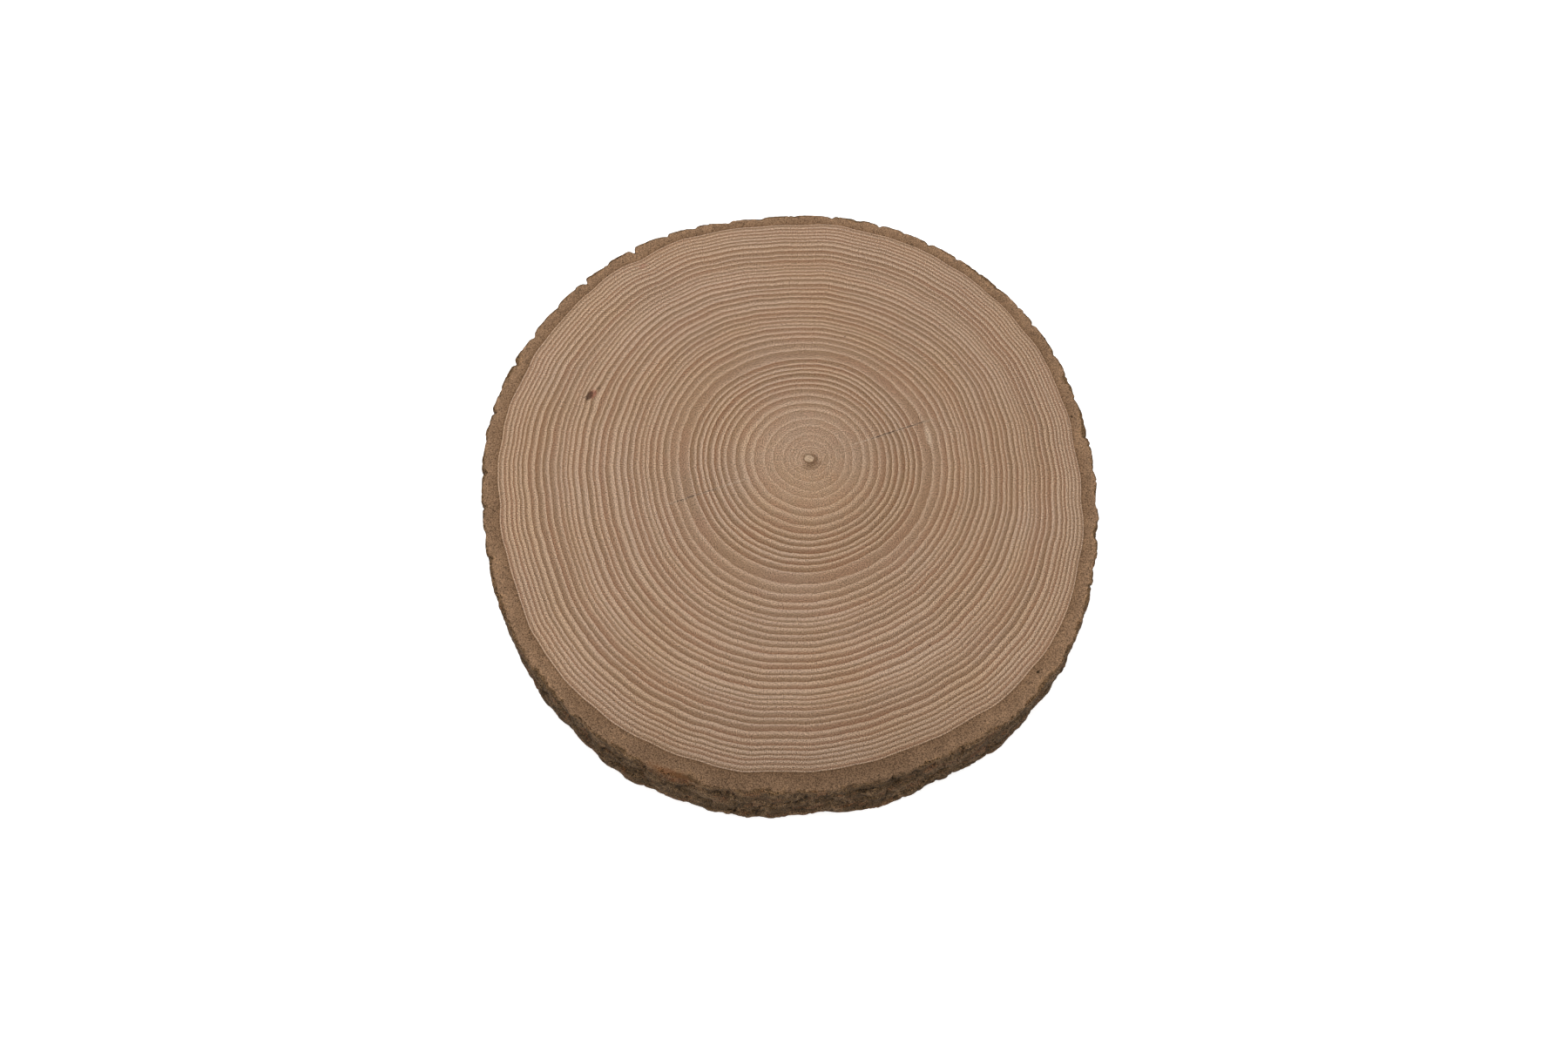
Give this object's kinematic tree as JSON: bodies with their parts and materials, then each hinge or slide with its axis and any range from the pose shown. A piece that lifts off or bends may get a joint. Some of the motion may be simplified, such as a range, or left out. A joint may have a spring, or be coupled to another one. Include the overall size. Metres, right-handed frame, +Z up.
{
  "type": "wood slice",
  "caption": "Round slice sawn across a tree trunk, with fine growth rings, an off-centre pith and a rim of rough bark. It lies flat as a board, stand or display base.",
  "frame": {"origin": "on the surface the slice lies on, under the middle of its box in plan; the pith is 10.6 mm to +X and 15.0 mm to +Y of it", "axes": "+Z up out of the upper sawn face, +X to the right and +Y away from the viewer as the picture shows it"},
  "size_m": [0.303, 0.3112, 0.045],
  "materials": {
    "wood": "sawn and sanded end grain, bare and matt",
    "bark": "rough dry bark, matt"
  },
  "bodies": {
    "root": {"wood_slice": "wood"}
  },
  "joints": []
}
